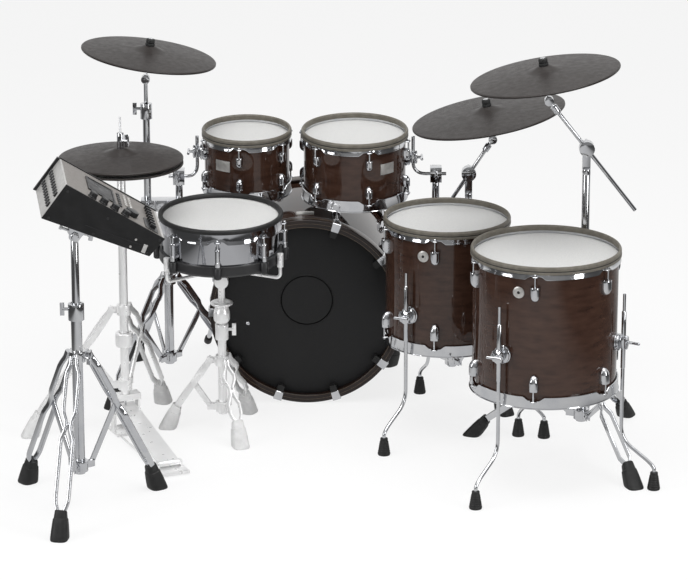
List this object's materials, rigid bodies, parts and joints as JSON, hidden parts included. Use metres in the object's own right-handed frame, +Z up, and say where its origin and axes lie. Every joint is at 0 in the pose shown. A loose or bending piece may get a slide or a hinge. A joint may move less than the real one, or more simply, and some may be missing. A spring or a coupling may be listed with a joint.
{
  "type": "electronic drum kit",
  "caption": "Electronic drum kit with wooden mesh-head drums, rubber cymbal pads on folding stands, a hi-hat with pedal and a tilting sound module.",
  "frame": {"origin": "on the floor, in the middle of the kit's bounding box", "axes": "+X to the drummer's right, +Y away from the drummer through the kick drum, +Z up"},
  "size_m": [1.84, 1.7102, 1.1687],
  "materials": {
    "black_mesh": "matt",
    "black_plastic": "satin",
    "black_rubber": "matt",
    "chrome": "polished",
    "control_black": "satin",
    "cymbal_rubber": "satin",
    "dark_hoop": "gloss lacquer",
    "module_black": "satin",
    "module_grey": "satin",
    "pale_metal": "satin",
    "rim_rubber": "matt",
    "walnut": "gloss lacquer",
    "white_mesh": "woven mesh"
  },
  "bodies": {
    "kit": {"kick_shell": "walnut", "kick_hoops": "dark_hoop", "kick_heads": "black_mesh", "kick_hardware": "chrome", "floor_tom_legs": "chrome", "snare_shell": "chrome", "snare_base": "black_plastic", "snare_head": "white_mesh", "snare_rim": "black_rubber", "snare_hardware": "chrome", "snare_stand": "pale_metal", "hihat_stand": "pale_metal", "hihat_bottom_cymbal": "cymbal_rubber", "rubber_feet": "black_rubber", "cymbal_stands": "chrome", "module_stand_column": "chrome"},
    "kick_spur_left": {"kick_spur_left": "chrome"},
    "kick_spur_right": {"kick_spur_right": "chrome"},
    "tom_10": {"tom_10_shell": "walnut", "tom_10_head": "white_mesh", "tom_10_rim": "rim_rubber", "tom_10_hoops": "chrome", "tom_10_hardware": "chrome"},
    "tom_12": {"tom_12_shell": "walnut", "tom_12_head": "white_mesh", "tom_12_rim": "rim_rubber", "tom_12_hoops": "chrome", "tom_12_hardware": "chrome"},
    "floor_tom_14": {"floor_tom_14_shell": "walnut", "floor_tom_14_head": "white_mesh", "floor_tom_14_rim": "rim_rubber", "floor_tom_14_hoops": "chrome", "floor_tom_14_hardware": "chrome"},
    "floor_tom_16": {"floor_tom_16_shell": "walnut", "floor_tom_16_head": "white_mesh", "floor_tom_16_rim": "rim_rubber", "floor_tom_16_hoops": "chrome", "floor_tom_16_hardware": "chrome"},
    "hihat_top": {"hihat_top_cymbal": "cymbal_rubber", "hihat_pull_rod": "pale_metal"},
    "hihat_pedal": {"hihat_footboard": "pale_metal"},
    "crash_left_rod": {"crash_left_rod": "chrome"},
    "crash_left": {"crash_left": "cymbal_rubber"},
    "ride_boom": {"ride_boom": "chrome"},
    "ride": {"ride": "cymbal_rubber"},
    "crash_right_tube": {"crash_right_tube": "chrome"},
    "crash_right_boom": {"crash_right_boom": "chrome"},
    "crash_right": {"crash_right": "cymbal_rubber"},
    "module_tube": {"module_tube": "chrome"},
    "module": {"module_housing": "module_grey", "module_side_panels": "module_black", "module_controls": "control_black"},
    "module_dial": {"module_dial": "control_black"},
    "module_stand_collar": {"module_stand_collar": "chrome"},
    "module_stand_leg_1": {"module_stand_leg_1": "chrome"},
    "module_stand_brace_1": {"module_stand_brace_1": "chrome"},
    "module_stand_leg_2": {"module_stand_leg_2": "chrome"},
    "module_stand_brace_2": {"module_stand_brace_2": "chrome"},
    "module_stand_leg_3": {"module_stand_leg_3": "chrome"},
    "module_stand_brace_3": {"module_stand_brace_3": "chrome"}
  },
  "joints": [
    {"name": "kick_spur_left_fold", "type": "hinge", "parent": "kit", "child": "kick_spur_left", "pos_m": [-0.35881, 0.62925, 0.2019], "axis": [0.9397, -0.0131, 0.3418], "range_deg": [0, 60]},
    {"name": "kick_spur_right_fold", "type": "hinge", "parent": "kit", "child": "kick_spur_right", "pos_m": [0.19881, 0.62925, 0.2019], "axis": [0.9397, 0.0131, -0.3418], "range_deg": [0, 60]},
    {"name": "tom_10_tilt", "type": "hinge", "parent": "kit", "child": "tom_10", "pos_m": [-0.465, 0.44903, 0.66296], "axis": [1, 0, 0], "range_deg": [-6, 6]},
    {"name": "tom_12_tilt", "type": "hinge", "parent": "kit", "child": "tom_12", "pos_m": [0.306, 0.42067, 0.67892], "axis": [1, 0, 0], "range_deg": [-6, 6]},
    {"name": "floor_tom_14_height", "type": "slide", "parent": "kit", "child": "floor_tom_14", "axis": [0, 0, 1], "range_m": [-0.03, 0.06]},
    {"name": "floor_tom_16_height", "type": "slide", "parent": "kit", "child": "floor_tom_16", "axis": [0, 0, 1], "range_m": [-0.015, 0.06]},
    {"name": "hihat_lift", "type": "slide", "parent": "kit", "child": "hihat_top", "axis": [0, 0, 1], "range_m": [-0.0075, 0], "stiffness_N_per_m": 600, "springref_m": 0.05},
    {"name": "hihat_pedal_press", "type": "hinge", "parent": "kit", "child": "hihat_pedal", "pos_m": [-0.46764, -0.29614, 0.024], "axis": [0.9135, 0.4067, 0], "range_deg": [-1.28, 0.05]},
    {"name": "crash_left_height", "type": "slide", "parent": "kit", "child": "crash_left_rod", "axis": [0, 0, 1], "range_m": [-0.05, 0.12]},
    {"name": "crash_left_sway", "type": "hinge", "parent": "crash_left_rod", "child": "crash_left", "pos_m": [-0.54556, 0.4506, 1.06195], "axis": [0.9895, 0, -0.1444], "range_deg": [-4, 4]},
    {"name": "ride_boom_swing", "type": "hinge", "parent": "kit", "child": "ride_boom", "pos_m": [0.405, 0.4236, 0.677], "axis": [0, 1, 0], "range_deg": [-3, 20]},
    {"name": "ride_sway", "type": "hinge", "parent": "ride_boom", "child": "ride", "pos_m": [0.45704, 0.4236, 0.88351], "axis": [0.9833, 0, 0.1822], "range_deg": [-4, 4]},
    {"name": "crash_right_height", "type": "slide", "parent": "kit", "child": "crash_right_tube", "axis": [0, 0, 1], "range_m": [-0.05, 0.1]},
    {"name": "crash_right_boom_swing", "type": "hinge", "parent": "crash_right_tube", "child": "crash_right_boom", "pos_m": [0.717, -0.1234, 0.903], "axis": [0, 1, 0], "range_deg": [-10, 20]},
    {"name": "crash_right_sway", "type": "hinge", "parent": "crash_right_boom", "child": "crash_right", "pos_m": [0.59108, -0.1234, 1.14192], "axis": [0.9866, 0, 0.1633], "range_deg": [-4, 4]},
    {"name": "module_height", "type": "slide", "parent": "kit", "child": "module_tube", "axis": [0, 0, 1], "range_m": [-0.06, 0.09]},
    {"name": "module_tilt", "type": "hinge", "parent": "module_tube", "child": "module", "pos_m": [-0.699, -0.5774, 0.79], "axis": [-0.1392, 0.9903, 0], "range_deg": [-15, 20]},
    {"name": "module_dial_turn", "type": "hinge", "parent": "module", "child": "module_dial", "pos_m": [-0.54278, -0.62815, 0.85626], "axis": [0.5218, 0.0733, 0.8499], "continuous": true},
    {"name": "module_stand_fold", "type": "slide", "parent": "kit", "child": "module_stand_collar", "axis": [0, 0, 1], "range_m": [0, 0.03561]},
    {"name": "module_stand_leg_1_fold", "type": "hinge", "parent": "module_stand_collar", "child": "module_stand_leg_1", "pos_m": [-0.72262, -0.55023, 0.44], "axis": [-0.7547, -0.6561, 0], "range_deg": [-0.05, 17.69]},
    {"name": "module_stand_brace_1_fold", "type": "hinge", "parent": "kit", "child": "module_stand_brace_1", "pos_m": [-0.72262, -0.55023, 0.121], "axis": [0.7547, 0.6561, 0], "range_deg": [-0.05, 17.69]},
    {"name": "module_stand_leg_2_fold", "type": "hinge", "parent": "module_stand_collar", "child": "module_stand_leg_2", "pos_m": [-0.66951, -0.55675, 0.44], "axis": [-0.5736, 0.8192, 0], "range_deg": [-0.05, 17.69]},
    {"name": "module_stand_brace_2_fold", "type": "hinge", "parent": "kit", "child": "module_stand_brace_2", "pos_m": [-0.66951, -0.55675, 0.121], "axis": [0.5736, -0.8192, 0], "range_deg": [-0.05, 17.69]},
    {"name": "module_stand_leg_3_fold", "type": "hinge", "parent": "module_stand_collar", "child": "module_stand_leg_3", "pos_m": [-0.70463, -0.61296, 0.44], "axis": [0.9877, -0.1564, 0], "range_deg": [-0.05, 17.69]},
    {"name": "module_stand_brace_3_fold", "type": "hinge", "parent": "kit", "child": "module_stand_brace_3", "pos_m": [-0.70463, -0.61296, 0.121], "axis": [-0.9877, 0.1564, 0], "range_deg": [-0.05, 17.69]}
  ],
  "couplings": [
    {"joint": "hihat_pedal_press", "follows": "hihat_lift", "rad_per_m": 2.8571},
    {"joint": "module_stand_leg_1_fold", "follows": "module_stand_fold", "rad_per_m": 8.6438},
    {"joint": "module_stand_brace_1_fold", "follows": "module_stand_fold", "rad_per_m": 8.6438},
    {"joint": "module_stand_leg_2_fold", "follows": "module_stand_fold", "rad_per_m": 8.6438},
    {"joint": "module_stand_brace_2_fold", "follows": "module_stand_fold", "rad_per_m": 8.6438},
    {"joint": "module_stand_leg_3_fold", "follows": "module_stand_fold", "rad_per_m": 8.6438},
    {"joint": "module_stand_brace_3_fold", "follows": "module_stand_fold", "rad_per_m": 8.6438}
  ]
}
